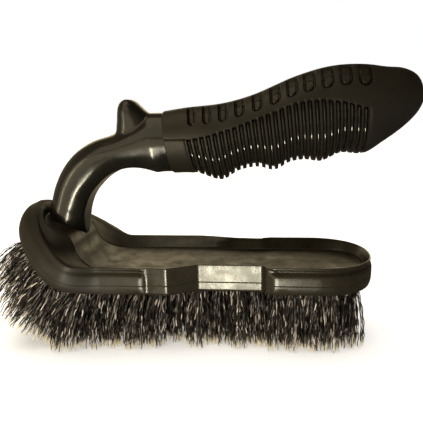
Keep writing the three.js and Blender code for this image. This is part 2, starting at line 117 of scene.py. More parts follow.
# The bumper's outer wall from the lip down: height, rise at the nose's tip, then how far the skin stands
# out everywhere, at the tip, in the groove under the lip, on the bulge, and along the front.
OUTER_WALL = [
    (-0.22, 1.4, 0, 0.4, 0, 0, 0),
    (-0.6, 0.8, 0.05, 0.85, 0, 0, 0),
    (-0.95, 0.2, 0, 1.3, -0.05, 0, 0.2),
    (-1.35, 0, 0, 1.7, -0.62, 0, 0.3),
    (-1.9, 0, 0, 2.0, -0.72, 0, 0.42),
    (-2.5, 0, 0, 2.3, -0.5, 0, 0.55),
    (-3.0, 0, 0, 2.5, 0.1, 0, 0.66),
    (-3.5, 0, 0, 2.7, 0.45, 0, 0.76),
    (-4.4, 0, 0, 2.9, 0.58, 0, 0.88),
    (-6.0, 0, 0, 3.0, 0, 0.62, 0),
    (-7.45, 0, 0, 2.9, 0, 0.6, 0),
    (-7.68, 0, 0, 2.87, 0, 0.6, 0),
    (-7.8, 0, -0.08, 2.85, 0, 0.58, 0),
    (-7.92, 0, 0, 2.8, 0, 0.58, 0),
    (-8.15, 0, 0, 2.7, 0, 0.58, 0),
    (-9.4, 0, 0, 2.4, 0, 0.52, 0),
    (-10.7, 0, 0, 1.9, 0, 0.26, 0),
    (-11.5, 0, -0.02, 1.4, 0, 0, 0),
    (-11.9, 0, -0.3, 1.1, 0, 0, 0),
]
RING_STATIONS = 1100
BLOCK_STATIONS = 320
BLOCK_COLUMNS = 25

# Bristle length below the block, as (run past the bend's start, length).
BRISTLE_LENGTHS = [(-20, 27.3), (-4, 27.8), (6, 31), (16, 30.6), (24, 26.8), (34, 21.2), (44, 16.5)]
TUFT_PITCH_X = 8.2
TUFT_PITCH_Y = 7.8
TUFT_COLUMNS = 19
FIRST_TUFT_X = 65.6
TUFT_EDGE_MARGIN = 2.7
HOLE_RADIUS = 2.1
HOLE_DEPTH = 4.4
FILAMENTS_PER_TUFT = 76
FILAMENT_STEPS = 31
TUFT_SPREAD = 6.2
ROOT_SPREAD = 1.5
TIP_HALF_WIDTH = 24.0
FRONT_LEAN = math.radians(15)
NOSE_FAN = 0.7
SPREAD_EASE = 2.2
BRISTLE_TRIM = 0.7
TIP_FLOOR = 0.1
STEPS_PER_CRIMP = 3
CRIMP_HEIGHT = 0.7
SWAY = 0.7
FILAMENT_RADII = (0.17, 0.26)

# The screws of the handle's foot, by run past the bend's start.
SCREW_RUNS = (20.6, 28.6)
SCREW_CLEAR_RADIUS = 4.95
SCREW_HEAD_RADIUS = 2.7
SCREW_HEAD_BASE = -10.6
SCREW_HEAD_HEIGHT = 2.0
SCREW_EDGE = 0.5

# Side-view stations of the grip and the neck: top point, bottom point, half-width.
GRIP = [
    ((-17.1, 103.2), (-13.0, 75.8), 12.2),
    ((-6.0, 104.7), (-2.6, 75.6), 12.6),
    ((6.2, 105.7), (8.7, 72.4), 13.4),
    ((14.8, 107.2), (16.6, 76.4), 13.6),
    ((23.5, 109.7), (25.0, 78.0), 13.8),
    ((31.2, 112.8), (32.2, 76.6), 14.2),
    ((38.2, 115.7), (39.0, 80.0), 14.6),
    ((44.8, 117.9), (45.4, 81.0), 14.9),
    ((52.2, 119.8), (52.6, 80.4), 15.1),
    ((60.0, 120.8), (60.4, 83.8), 15.0),
    ((69.2, 120.7), (69.6, 83.6), 14.6),
    ((77.6, 119.5), (78.0, 88.8), 13.4),
    ((84.6, 118.7), (85.2, 94.2), 11.4),
    ((90.0, 115.8), (90.4, 99.6), 8.4),
    ((93.0, 110.0), (93.2, 104.4), 3.4),
]
NECK = [
    ((-74.4, 48.8), (-56.8, 35.0), 9.6),
    ((-73.0, 58.0), (-55.6, 54.0), 9.4),
    ((-71.6, 63.5), (-54.2, 60.6), 8.8),
    ((-69.0, 71.0), (-51.8, 66.0), 8.8),
    ((-64.6, 78.8), (-48.2, 70.4), 9.0),
    ((-58.0, 85.8), (-43.4, 74.6), 9.4),
    ((-49.8, 90.6), (-37.4, 77.6), 10.0),
    ((-40.6, 93.4), (-31.6, 78.7), 10.5),
    ((-31.4, 97.6), (-25.6, 78.3), 11.0),
    ((-23.4, 102.6), (-19.2, 76.6), 11.6),
]
THUMB_STOP = [
    ((-42.0, 88.0), (-19.5, 92.0), 8.0),
    ((-38.6, 95.0), (-20.5, 100.2), 8.0),
    ((-37.9, 99.5), (-22.8, 102.0), 8.0),
    ((-37.6, 102.8), (-25.2, 103.9), 7.8),
    ((-37.2, 105.2), (-27.2, 105.8), 7.2),
    ((-36.2, 107.3), (-28.9, 107.4), 6.2),
    ((-34.4, 108.6), (-30.9, 108.6), 4.4),
]

# The sleeve's rounded end, the core's insets under it, and the stations where the core changes.
SLEEVE_EDGE = 0.9
TANG_DEPTH = 2.3
COLLAR_STEP = 0.6
COLLAR_STATIONS = 9
TANG_STATIONS = 148
GRIP_STATIONS = 160
NECK_STATIONS = 90
FOOT_STATIONS = (4, 14)
NECK_FLATNESS = 0.25
STOP_SQUARENESS = 0.9

# How finely the skins of the handle are cut.
CORE_SIDES = 72
STOP_SIDES = 48
SKIN_VOXEL = 0.42
SKIN_SMOOTHING = 14
FINE_STATIONS = 760
SLEEVE_SIDES = 320
CORE_RIB_SIDES = 240

# The upper edge of the ribbed side, as (x, z).
RIB_LINE = [(-14, 91.2), (-4.3, 91.2), (2.9, 92.6), (15, 96.1), (29.4, 101.5), (38.2, 105), (44, 106.4),
            (51.5, 106.7), (60.2, 105.4), (68, 103)]
RIB_GAPS = 27
GAP_HALF_WIDTH = 0.88
GAP_DEPTH = 2.6
RIB_TOP_DEPTH = 0.3
COLLAR_LINE_DEPTH = 0.5
CORE_RIB_DEPTH = 0.45
CORE_RIB_HALF_WIDTH = 0.8
CORE_RIB_MAX_DEPTH = 2.2
FIRST_GAP_X = -4.3
LAST_GAP_X = 67.6
FIRST_GAP_LEAN = math.radians(10)
LAST_GAP_LEAN = math.radians(2.5)

# Thumb pads: places along the grip, distances down from its crest, then sizes at the first and last pad.
PAD_PLACES = (-3.9, 2.8, 9.7, 16.8, 24.4, 31.8, 38.8, 45.8, 53.2, 60.5, 68.2)
PAD_TOP = 3.0
PAD_STEP = 7.6
PAD_STEP_FALL = 3.6
PAD_BOTTOM = 14.6
PAD_BOTTOM_FALL = 2.0
PAD_HALF_WIDTHS = (1.8, 2.65)
PAD_LEANS = (0.1, -0.06)
PAD_POCKETS = (0.3, 1.2)
PAD_GROOVE = 2.1
PAD_SHELF = 2.0
PAD_FIELD = 0.18
GROOVE_SIDE = (0.3, 0.65)


# ---------------------------------------------------------------- small mathematics

def smoothstep(value, low, high):
    t = np.clip((np.asarray(value, float) - low) / (high - low), 0, 1)
    return t * t * (3 - 2 * t)


def along(pairs, value):
    """The value of a broken line through pairs."""
    xs, ys = zip(*pairs)
    return np.interp(value, xs, ys)


def smooth_closed(points, passes):
    """A closed polyline with each point drawn towards its neighbours."""
    for _ in range(passes):
        points = 0.5 * points + 0.25 * (np.roll(points, 1, 0) + np.roll(points, -1, 0))
    return points


def catmull_rom(points, count):
    """A smooth open curve through points, as count samples at even parameter."""
    points = np.asarray(points, float)
    padded = np.vstack([2 * points[0] - points[1], points, 2 * points[-1] - points[-2]])
    t = np.linspace(0, len(points) - 1, count)
    i = np.minimum(t.astype(int), len(points) - 2)
    f = (t - i)[:, None]
    a, b, c, d = padded[i], padded[i + 1], padded[i + 2], padded[i + 3]
    cubic = (3 * b - a - 3 * c + d) * f**3
    return 0.5 * (2 * b + (c - a) * f + (2 * a - 5 * b + 4 * c - d) * f**2 + cubic)


def unit_rows(vectors):
    """Vectors scaled to length 1; a zero vector stays zero."""
    return vectors / np.maximum(np.linalg.norm(vectors, axis=-1, keepdims=True), 1e-6)


# ---------------------------------------------------------------- outlines of the block

def bend(u, y, n):
    """From the block's flattened coordinates (along, across, above the rim plane) to space."""
    u, y, n = np.broadcast_arrays(np.asarray(u, float), y, n)
    run = np.maximum(0, BEND_X - u)
    turned = np.minimum(run / BEND_RADIUS, BEND_ANGLE)
    straight = run - turned * BEND_RADIUS
    reach = BEND_RADIUS - n
    x = np.maximum(u, BEND_X) - reach * np.sin(turned) - straight * np.cos(turned)
    z = RIM_Z + BEND_RADIUS - reach * np.cos(turned) + straight * np.sin(turned)
    return np.stack([x, y, z], -1)


def round_off(t, roundness):
    """Falls from 1 to 0 along a rounded end; 2 is an ellipse."""
    return (1 - np.clip(t, 0, 1) ** roundness) ** (1 / roundness)


def rim_half(u, side):
    """Half-width of the rim on one side, -1 near and +1 far."""
    u = np.asarray(u, float)
    run = BEND_X - u
    nose = FLARE_HALF_WIDTH * round_off((run - FLARE_RUN) / (NOSE_LENGTH - FLARE_RUN), NOSE_ROUNDNESS)
    flare = FRONT_HALF_WIDTH + (FLARE_HALF_WIDTH - FRONT_HALF_WIDTH) * smoothstep(run, 0, FLARE_RUN)
    heel_part = (u - HEEL_ROUND_START) / (HEEL_END - HEEL_ROUND_START)
    heel = REAR_HALF_WIDTH * round_off(heel_part, HEEL_ROUNDNESS)
    middle = along(NEAR_WAIST if side < 0 else FAR_WAIST, u)
    return np.where(run > FLARE_RUN, nose, np.where(run > 0, flare, np.where(heel_part > 0, heel, middle)))


def panel_half(u, side):
    """Half-width of the raised floor panel."""
    run = BEND_X - np.asarray(u, float)
    at_nose = PANEL_NOSE_NEAR_WIDTH if side < 0 else PANEL_NOSE_FAR_WIDTH
    width = PANEL_HALF_WIDTH + (at_nose - PANEL_HALF_WIDTH) * smoothstep(run, -3, 20)
    nose = round_off((run - PANEL_NOSE_ROUND_START) / (PANEL_NOSE_RUN - PANEL_NOSE_ROUND_START), 2)
    heel = round_off((u - PANEL_HEEL_ROUND_START) / (PANEL_HEEL_END - PANEL_HEEL_ROUND_START), 2.4)
    return width * nose * heel


RIM = (BEND_X - NOSE_LENGTH, HEEL_END, rim_half)
PANEL = (BEND_X - PANEL_NOSE_RUN, PANEL_HEEL_END, panel_half)


def inset_outline(outline, distance):
    """The outline a given distance inside another, or outside it when the distance is negative."""
    nose, heel, base = outline
    reaches = np.linspace(-1, 1, 33) * abs(distance)
    sign = math.copysign(1, distance)

    def half(u, side):
        u = np.asarray(u, float)
        backs = [math.sqrt(max(0, distance**2 - reach**2)) for reach in reaches]
        rows = [sign * base(u + reach, side) - back for reach, back in zip(reaches, backs)]
        return np.maximum(0, sign * np.min(rows, 0))

    return nose + distance, heel - distance, half


FLANGE = inset_outline(RIM, FLANGE_INSET)
SEAM = inset_outline(PANEL, -SEAM_GAP)


def outline_points(outline, fractions, side):
    """Points on one side of an outline, at fractions of its length."""
    nose, heel, half = outline
    u = nose + (heel - nose) * fractions
    return np.stack([u, side * half(u, side)], -1)


def loop_fractions(count):
    """Fractions and sides of a walk round the rim, near side first, at even distances."""
    eased = (1 - np.cos(np.linspace(0, np.pi, 1200))) / 2
    near = outline_points(RIM, eased, -1)
    far = outline_points(RIM, eased[::-1], 1)
    walk = np.vstack([near, far])
    fractions = np.concatenate([eased, eased[::-1]])
    steps = np.linalg.norm(np.diff(walk, axis=0), axis=1)
    travelled = np.concatenate([[0], np.cumsum(steps)])
    wanted = np.linspace(0, travelled[-1], count, endpoint=False)
    chosen = np.interp(wanted, travelled, fractions)
    turn = travelled[len(eased) - 1]
    return chosen, np.where(wanted <= turn, -1, 1)


def loop_points(outline, fractions, sides):
    """Points right round an outline."""
    near = outline_points(outline, fractions, -1)
    far = outline_points(outline, fractions, 1)
    return np.where((sides < 0)[:, None], near, far)


def outward_normals(points):
    """Unit normals of a closed walk that keeps its inside on the left."""
    direction = np.roll(points, -1, 0) - np.roll(points, 1, 0)
    direction /= np.linalg.norm(direction, axis=1, keepdims=True)
    return np.stack([direction[:, 1], -direction[:, 0]], -1)


def floor_at(u):
    """Height of the panel's top above the rim plane, with the corners of the climb rounded."""
    run = BEND_X - np.asarray(u, float)
    return np.mean([along(FLOOR_CLIMB, run + shift) for shift in np.linspace(-3, 3, 13)], 0)


# ---------------------------------------------------------------- meshes

def new_mesh(name, points, faces, sharp_angle=40):
    """A smooth-shaded object from millimetre points; edges above sharp_angle degrees stay sharp."""
    mesh = bpy.data.meshes.new(name)
    mesh.from_pydata((np.asarray(points) * MM).tolist(), [], [tuple(map(int, face)) for face in faces])
    mesh.validate()
    mesh.update()
    shade(mesh, sharp_angle)
    obj = bpy.data.objects.new(name, mesh)
    bpy.context.scene.collection.objects.link(obj)
    return obj


def shade(mesh, sharp_angle):
    """Smooth shading, with edges above sharp_angle degrees kept sharp."""
    mesh.polygons.foreach_set("use_smooth", [True] * len(mesh.polygons))
    mesh.set_sharp_from_angle(angle=math.radians(sharp_angle))


def grid_faces(rows, columns, close_rows=False, close_columns=False):
    """Quads of a grid of points numbered row by row."""
    r = np.arange(rows if close_rows else rows - 1)[:, None]
    c = np.arange(columns if close_columns else columns - 1)[None, :]
    r2 = (r + 1) % rows
    c2 = (c + 1) % columns
    corners = r * columns + c, r * columns + c2, r2 * columns + c2, r2 * columns + c
    return np.stack(np.broadcast_arrays(*corners), -1).reshape(-1, 4).tolist()


def lofted(name, rings, closed_path=False, sharp_angle=40):
    """An object through closed rings, an array (ring, point, 3); the ends of an open path are capped."""
    rings = np.asarray(rings, float)
    rows, columns, _ = rings.shape
    faces = grid_faces(rows, columns, close_rows=closed_path, close_columns=True)
    points = rings.reshape(-1, 3)
    if not closed_path:
        middles = np.array([rings[0].mean(0), rings[-1].mean(0)])
        first, last = len(points), len(points) + 1
        points = np.vstack([points, middles])
        for i in range(columns):
            j = (i + 1) % columns
            faces.append((first, j, i))
            base = (rows - 1) * columns
            faces.append((last, base + i, base + j))
    return face_outwards(new_mesh(name, points, faces, sharp_angle))


def face_outwards(obj):
    """Turns every face outwards when the mesh's volume is negative."""
    mesh = obj.data
    mesh.calc_loop_triangles()
    co = np.empty(len(mesh.vertices) * 3)
    mesh.vertices.foreach_get("co", co)
    co = co.reshape(-1, 3)
    tri = np.empty(len(mesh.loop_triangles) * 3, int)
    mesh.loop_triangles.foreach_get("vertices", tri)
    a, b, c = co[tri.reshape(-1, 3)].transpose(1, 0, 2)
    if np.einsum("ij,ij->", a, np.cross(b, c)) < 0:
        mesh.flip_normals()
    return obj


def apply_modifiers(obj):
    """Replaces the object's mesh with its evaluated one."""
    graph = bpy.context.evaluated_depsgraph_get()
    evaluated = bpy.data.meshes.new_from_object(obj.evaluated_get(graph))
    obj.modifiers.clear()
    obj.data = evaluated
    return obj


def cut(obj, cutter):
    """Subtracts cutter from obj and removes cutter."""
    modifier = obj.modifiers.new("cut", "BOOLEAN")
    modifier.operation = "DIFFERENCE"
    modifier.solver = "EXACT"
    modifier.object = cutter
    apply_modifiers(obj)
    bpy.data.objects.remove(cutter)
    return obj


def declare(obj, material, slot, *nodes):
    """Gives a piece its material, attaches it to the root body and hides the CAD nodes that it stands for.
    """
    obj.data.materials.clear()
    obj.data.materials.append(material)
    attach(obj, "root")
    if nodes:
        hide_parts(*nodes)
    return obj


# ---------------------------------------------------------------- materials

# Noise scales are per metre, and the scuffed zone of the nose is in metres along X.
COLOUR_NOISE = 45
WEAR_NOISE = 160
SCUFF_START = -0.027
SCUFF_END = -0.04

BRISTLE_ROUGHNESS = 0.32
# Filament greys from near black up to pale painted glints, which stand in for light caught by the crimp
# facets.
BRISTLE_GREYS_AND_GLINTS = [(0.0, (0.004, 0.0032, 0.003)), (0.4, (0.02, 0.0165, 0.015)),
                 (0.68, (0.115, 0.096, 0.086)), (0.86, (0.8, 0.7, 0.63))]
TIP_ZONE = (0.885, 0.945)
TIP_COVER = 0.95
TIP_COLOUR = (0.93, 0.82, 0.6)


def new_material(name, colour, roughness, specular=0.5):
    """A material with its node tree and its shader."""
    material = bpy.data.materials.new(name)
    material.use_nodes = True
    shader = material.node_tree.nodes["Principled BSDF"]
    shader.inputs["Base Color"].default_value = (*colour, 1)
    shader.inputs["Roughness"].default_value = roughness
    shader.inputs["Specular IOR Level"].default_value = specular
    return material, material.node_tree, shader


def add(tree, kind, **values):
    """A node with its sockets and properties set by name."""
    node = tree.nodes.new(kind)
    for key, value in values.items():
        if key in node.inputs:
            node.inputs[key].default_value = value
        else:
            setattr(node, key, value)
    return node


def noise(tree, scale, detail=3.0, roughness=0.55):
    """Noise over the object's own coordinates; scale is per metre."""
    place = tree.nodes.new("ShaderNodeTexCoord")
    node = add(tree, "ShaderNodeTexNoise", Scale=scale, Detail=detail, Roughness=roughness)
    tree.links.new(place.outputs["Object"], node.inputs["Vector"])
    return node.outputs["Fac"]


def ramp(tree, source, stops):
    """A colour ramp; stops are (position, colour)."""
    node = tree.nodes.new("ShaderNodeValToRGB")
    elements = node.color_ramp.elements
    while len(elements) < len(stops):
        elements.new(1.0)
    for element, (position, colour) in zip(elements, stops):
        element.position = position
        element.color = (*colour, 1)
    tree.links.new(source, node.inputs["Fac"])
    return node.outputs["Color"]


def remap(tree, source, low, high, new_low, new_high):
    """The source, clamped to low..high and moved to new_low..new_high."""
    sockets = {"From Min": low, "From Max": high, "To Min": new_low, "To Max": new_high}
    node = add(tree, "ShaderNodeMapRange", **sockets)
    tree.links.new(source, node.inputs["Value"])
    return node.outputs["Result"]


def bump(tree, shader, source, distance):
    node = add(tree, "ShaderNodeBump", Distance=distance, Strength=1.0)
    tree.links.new(source, node.inputs["Height"])
    tree.links.new(node.outputs["Normal"], shader.inputs["Normal"])


def moulded_material(name, dark, light, roughness, grain, grain_depth, wear=0.065, scuffed=0.0):
    """Moulded plastic or rubber: slow colour change, uneven gloss, fine grain and a scuffed nose."""
    material, tree, shader = new_material(name, dark, roughness)
    slow = noise(tree, COLOUR_NOISE, 4)
    tree.links.new(ramp(tree, slow, [(0.3, dark), (0.75, light)]), shader.inputs["Base Color"])
    handled = noise(tree, WEAR_NOISE, 5, 0.6)
    rough = remap(tree, handled, 0.3, 0.7, roughness - wear, roughness + wear)
    place = tree.nodes.new("ShaderNodeTexCoord")
    parts = tree.nodes.new("ShaderNodeSeparateXYZ")
    tree.links.new(place.outputs["Object"], parts.inputs["Vector"])
    nose = remap(tree, parts.outputs["X"], SCUFF_START, SCUFF_END, 0.0, scuffed)
    total = tree.nodes.new("ShaderNodeMath")
    tree.links.new(rough, total.inputs[0])
    tree.links.new(nose, total.inputs[1])
    tree.links.new(total.outputs["Value"], shader.inputs["Roughness"])
    bump(tree, shader, noise(tree, grain, 2), grain_depth)
    return material


def bristle_material():
    """Crimped filament: each stretch has its own random grey, whose light end is a painted glint, and the
    cut ends are pale.
    """
    material, tree, shader = new_material("bristle_filament", (0.1, 0.1, 0.1), BRISTLE_ROUGHNESS)
    tone = add(tree, "ShaderNodeAttribute", attribute_name="tone").outputs["Fac"]
    tip = add(tree, "ShaderNodeAttribute", attribute_name="tip").outputs["Fac"]
    mix = add(tree, "ShaderNodeMix", data_type="RGBA")
    tree.links.new(remap(tree, tip, *TIP_ZONE, 0.0, TIP_COVER), mix.inputs["Factor"])
    tree.links.new(ramp(tree, tone, BRISTLE_GREYS_AND_GLINTS), mix.inputs["A"])
    mix.inputs["B"].default_value = (*TIP_COLOUR, 1)
    tree.links.new(mix.outputs["Result"], shader.inputs["Base Color"])
    return material


SATIN = moulded_material("satin_plastic", (0.016, 0.0128, 0.0078), (0.028, 0.0225, 0.0135),
                         roughness=0.4, grain=2600, grain_depth=0.00002, wear=0.14)
RUBBER = moulded_material("bumper_rubber", (0.013, 0.010, 0.006), (0.023, 0.0182, 0.011),
                          roughness=0.28, grain=2200, grain_depth=0.00003, wear=0.09, scuffed=0.26)
GRIP_RUBBER = moulded_material("grip_rubber", (0.012, 0.0098, 0.006), (0.017, 0.014, 0.0085),
                               roughness=0.5, grain=3000, grain_depth=0.00004)
RIB_GLOSS = moulded_material("core_rib_gloss", (0.005, 0.0048, 0.004), (0.008, 0.0076, 0.006),
                             roughness=0.12, grain=900, grain_depth=0.00001)
GLOSS = moulded_material("gloss_plastic", (0.006, 0.0057, 0.0044), (0.011, 0.0102, 0.0076),
                         roughness=0.19, grain=900, grain_depth=0.00001)
STEEL = moulded_material("screw_steel", (0.42, 0.42, 0.43), (0.55, 0.55, 0.56),
                         roughness=0.3, grain=3000, grain_depth=0.00002)
STEEL.node_tree.nodes["Principled BSDF"].inputs["Metallic"].default_value = 1.0
BRISTLE = bristle_material()


# ---------------------------------------------------------------- block and bumper

def moulded_share(u, side):
    """1 where the wall is moulded with its lip and bulge, 0 where a finger waist flattens it."""
    u = np.asarray(u, float)
    start = np.where(side < 0, NEAR_WAIST_START, FAR_WAIST_START)
    into = 1 - smoothstep(u, start - WAIST_FADE, start)
    out_of = smoothstep(u, *WAIST_END)
    return np.where(u < start, into, out_of)


def bumper():
    """The ring round the block, with its lip, tray wall, bulge, parting line and swollen nose."""
    fractions, sides = loop_fractions(RING_STATIONS)
    rim = smooth_closed(loop_points(RIM, fractions, sides), passes=3)
    seam = smooth_closed(loop_points(SEAM, fractions, sides), passes=8)
    flange = loop_points(FLANGE, fractions, sides)
    out = smooth_closed(outward_normals(rim), passes=4)
    u = rim[:, 0]
    run = BEND_X - u
    tip = smoothstep(run, NOSE_TIP_START, NOSE_LENGTH)
    front = smoothstep(run, *FRONT_ZONE)
    moulded = moulded_share(u, sides)
    floor = floor_at(seam[:, 0])
    swell = WALL_SWELL * smoothstep(run, *SWELL_ZONE)
    top = TIP_RISE * tip
    ledge = 1 - tip
    groove = moulded * ledge * (1 - 0.9 * front)
    bulge = moulded * ledge * (1 + 0.7 * front)

    def towards(goal, share, n):
        return bend(*(rim + (goal - rim) * share).T, n)

    def slope(share):
        climb = (1 - share) / (1 - LIP_SHARE)
        rise = smoothstep(climb, -0.15, 1.1) * 0.5 + climb * 0.5
        return towards(seam, share, floor + (top - 0.3 - floor) * rise + swell * np.sin(climb * np.pi))

    def outside(height, rise, everywhere, at_tip, in_groove, on_bulge, in_front):
        moulding = in_groove * groove + on_bulge * bulge + in_front * front * ledge
        offset = everywhere + at_tip * tip + moulding
        return bend(*(rim + out * offset[:, None]).T, height + rise * tip)

    columns = [
        towards(seam, 1, floor - 1.2),
        towards(seam, 1, floor - 0.25),
        towards(seam, 0.985, floor - 0.02),
        *[slope(share) for share in (0.93, 0.84, 0.72, 0.6, 0.48, 0.38, LIP_SHARE + 0.03)],
        towards(seam, LIP_SHARE - 0.02, top - 0.12),
        towards(seam, LIP_SHARE - 0.06, top),
        towards(seam, LIP_SHARE * 0.5, top + 0.04),
        towards(seam, 0.015, top * 0.95 - 0.02),
        *[outside(*row) for row in OUTER_WALL],
        towards(flange, 0.4, UNDERSIDE),
        towards(flange, 0.88, UNDERSIDE),
        towards(flange, 0.88, FLANGE_TOP + 0.3),
        towards(seam, 1, FLANGE_TOP + 0.3),
    ]
    obj = lofted("bumper_ring", np.stack(columns, 1), closed_path=True, sharp_angle=50)
    return declare(obj, RUBBER, "bumper", "bumper")


def level(height):
    """A flat face, as a height at any place."""
    return lambda u: np.full_like(u, height)


def loft_block(name, outline, bottom_at, top_at, edge):
    """A slab inside an outline, with a rounded top edge."""
    fractions = (1 - np.cos(np.linspace(0.02, np.pi - 0.02, BLOCK_STATIONS))) / 2
    near = outline_points(outline, fractions, -1)
    far = outline_points(outline, fractions, 1)
    u = near[:, 0]
    bottom, top = bottom_at(u), top_at(u)
    across = np.linspace(0, 1, BLOCK_COLUMNS)
    width = np.maximum(far[:, 1] - near[:, 1], 2.2 * edge)
    middle = (far[:, 1] + near[:, 1]) / 2
    columns = []
    for share in across:
        columns.append(bend(u, middle + width * (share - 0.5), bottom))
    for angle in (0, 30, 60):
        lift = edge * (1 - math.sin(math.radians(angle)))
        back = edge * (1 - math.cos(math.radians(angle)))
        columns.append(bend(u, middle + width / 2 - back, top - lift))
    for share in across[::-1]:
        columns.append(bend(u, middle + (width - 2 * edge) * (share - 0.5), top))
    for angle in (60, 30, 0):
        lift = edge * (1 - math.sin(math.radians(angle)))
        back = edge * (1 - math.cos(math.radians(angle)))
        columns.append(bend(u, middle - width / 2 + back, top - lift))
    return lofted(name, np.stack(columns, 1), sharp_angle=50)


def peg_points(radius, bottom, top, sides):
    """Points of an upright cylinder: its bottom circle, then its top one."""
    angle = np.linspace(0, 2 * np.pi, sides, endpoint=False)
    circle = np.stack([np.cos(angle) * radius, np.sin(angle) * radius], -1)
    return np.vstack([np.c_[circle, np.full(sides, bottom)], np.c_[circle, np.full(sides, top)]])


def peg_faces(sides, start):
    bottom = tuple(start + i for i in reversed(range(sides)))
    top = tuple(start + sides + i for i in range(sides))
    faces = [bottom, top]
    for i in range(sides):
        j = (i + 1) % sides
        faces.append((start + i, start + j, start + sides + j, start + sides + i))
    return faces


def pegs(name, places, radius, bottom, top, sides):
    """Upright cylinders at places (u, y) on the block, as one object."""
    points, faces = [], []
    for u, y in places:
        local = peg_points(radius, bottom, top, sides)
        axis_bottom = bend(u, y, 0.0)
        up = bend(u, y, 1.0) - axis_bottom
        side = np.array([up[2], 0, -up[0]])
        world = axis_bottom + local[:, :1] * side + local[:, 1:2] * np.array([0, 1, 0]) + local[:, 2:] * up
        faces += peg_faces(sides, sum(len(part) for part in points))
        points.append(world)
    return face_outwards(new_mesh(name, np.vstack(points), faces))


def rim_position_of(underside):
    """Position along the rim of a point this far along the underside, which runs round a wider bend."""
    run = max(0.0, BEND_X - underside)
    bend_run = BEND_ANGLE * (BEND_RADIUS - UNDERSIDE)
    if run > bend_run:
        return BEND_X - BEND_ANGLE * BEND_RADIUS - (run - bend_run)
    return max(underside, BEND_X) - run * BEND_RADIUS / (BEND_RADIUS - UNDERSIDE)


SCREW_PLACES = [(BEND_X - run, 0.0) for run in SCREW_RUNS]


def tuft_columns():
    """Centres of the tufts by column, from the heel to the nose, as (u, [y, ...])."""
    columns = []
    for column in range(TUFT_COLUMNS):
        u = rim_position_of(FIRST_TUFT_X - column * TUFT_PITCH_X)
        shift = 0.5 if column % 2 else 0.0
        places = []
        for step in range(-5, 6):
            y = (step + shift) * TUFT_PITCH_Y
            side = -1 if y < 0 else 1
            inside = abs(y) + TUFT_EDGE_MARGIN <= FLANGE[2](u, side)
            clear = all(math.hypot(u - su, y - sy) > SCREW_CLEAR_RADIUS for su, sy in SCREW_PLACES)
            if inside and clear:
                places.append(y)
        columns.append((u, places))
    return columns


COLUMNS = tuft_columns()


def block():
    """The moulded plate with its floor panel, tuft holes and screw wells."""
    flange = loft_block("brush_plate", FLANGE, level(UNDERSIDE), level(FLANGE_TOP), edge=0.3)
    holes = [(u, y) for u, places in COLUMNS for y in places]
    cut(flange, pegs("holes", holes, HOLE_RADIUS, UNDERSIDE - 1, UNDERSIDE + HOLE_DEPTH, 20))
    cut(flange, pegs("wells", SCREW_PLACES, SCREW_HEAD_RADIUS + 0.3, UNDERSIDE - 1, FLANGE_TOP + 1, 28))
    shade(flange.data, 50)
    declare(flange, SATIN, "block", "brush_block")
    panel = loft_block("floor_panel", PANEL, level(FLANGE_TOP - 0.2), floor_at, edge=0.35)
    declare(panel, SATIN, "block", "brush_block")


# ---------------------------------------------------------------- handle

def smooth_stations(stations, count):
    """Arrays of top points, bottom points and half-widths along a smooth run of stations."""
    tops = catmull_rom([(*top, half) for top, _, half in stations], count)
    bottoms = catmull_rom([(*bottom, half) for _, bottom, half in stations], count)
    return tops[:, :2], bottoms[:, :2], tops[:, 2]


def rings_of(tops, bottoms, halves, inset, sides, flatness=1.0, squareness=1.0):
    """Rings (station, point, 3) round side-view stations.

    Flatness above 1 flattens their undersides, and squareness below 1 fills their corners.
    """
    middle = (tops + bottoms) / 2
    axis = tops - bottoms
    reach = np.linalg.norm(axis, axis=1) / 2
    axis = axis / (2 * reach[:, None])
    angle = np.linspace(0, 2 * np.pi, sides, endpoint=False)
    sine, cosine = np.sin(angle), np.cos(angle)
    sine = np.sign(sine) * np.abs(sine) ** squareness
    flat = np.broadcast_to(flatness, len(tops))[:, None]
    rise = np.where(sine < 0, np.maximum(-1, sine * flat), sine)
    width = np.sign(cosine) * np.abs(cosine) ** squareness
    up = rise * (reach - inset)[:, None]
    x = middle[:, :1] + axis[:, :1] * up
    z = middle[:, 1:] + axis[:, 1:] * up
    y = width[None, :] * (halves - inset)[:, None]
    return np.stack([x, y, z], -1)


def remeshed(obj, voxel, smoothing):
    """One skin over everything in obj, with its joints smoothed into fillets."""
    modifier = obj.modifiers.new("skin", "REMESH")
    modifier.mode = "VOXEL"
    modifier.voxel_size = voxel * MM
    soft = obj.modifiers.new("soft", "SMOOTH")
    soft.factor = 0.5
    soft.iterations = smoothing
    apply_modifiers(obj)
    shade(obj.data, 60)
    return obj


def joined(name, *objects):
    """One object holding the meshes of several, which are removed."""
    points, faces = [], []
    for obj in objects:
        start = len(points)
        points += [tuple(vertex.co / MM) for vertex in obj.data.vertices]
        faces += [tuple(start + i for i in polygon.vertices) for polygon in obj.data.polygons]
        bpy.data.objects.remove(obj)
    return new_mesh(name, points, faces)


def handle_core():
    """Neck, thumb stop and the glossy core under the sleeve, as one skin."""
    flatness = 1 + NECK_FLATNESS * smoothstep(np.arange(NECK_STATIONS), *FOOT_STATIONS)
    neck = rings_of(*smooth_stations(NECK, NECK_STATIONS), 0, CORE_SIDES, flatness)
    tops, bottoms, halves = smooth_stations(GRIP, GRIP_STATIONS)
    ends = slice(0, COLLAR_STATIONS), slice(COLLAR_STATIONS, TANG_STATIONS)
    collar, tang = [rings_of(tops[part], bottoms[part], halves[part], inset, CORE_SIDES)
                    for part, inset in zip(ends, (COLLAR_STEP, TANG_DEPTH))]
    body = lofted("body", np.concatenate([neck, collar, tang]))
    stop_stations = [np.array(part, float) for part in zip(*THUMB_STOP)]
    stop = lofted("stop", rings_of(*stop_stations, 0, STOP_SIDES, squareness=STOP_SQUARENESS))
    core = remeshed(joined("handle_core_fine", body, stop), SKIN_VOXEL, SKIN_SMOOTHING)
    return declare(core, GLOSS, "core", "handle_core")


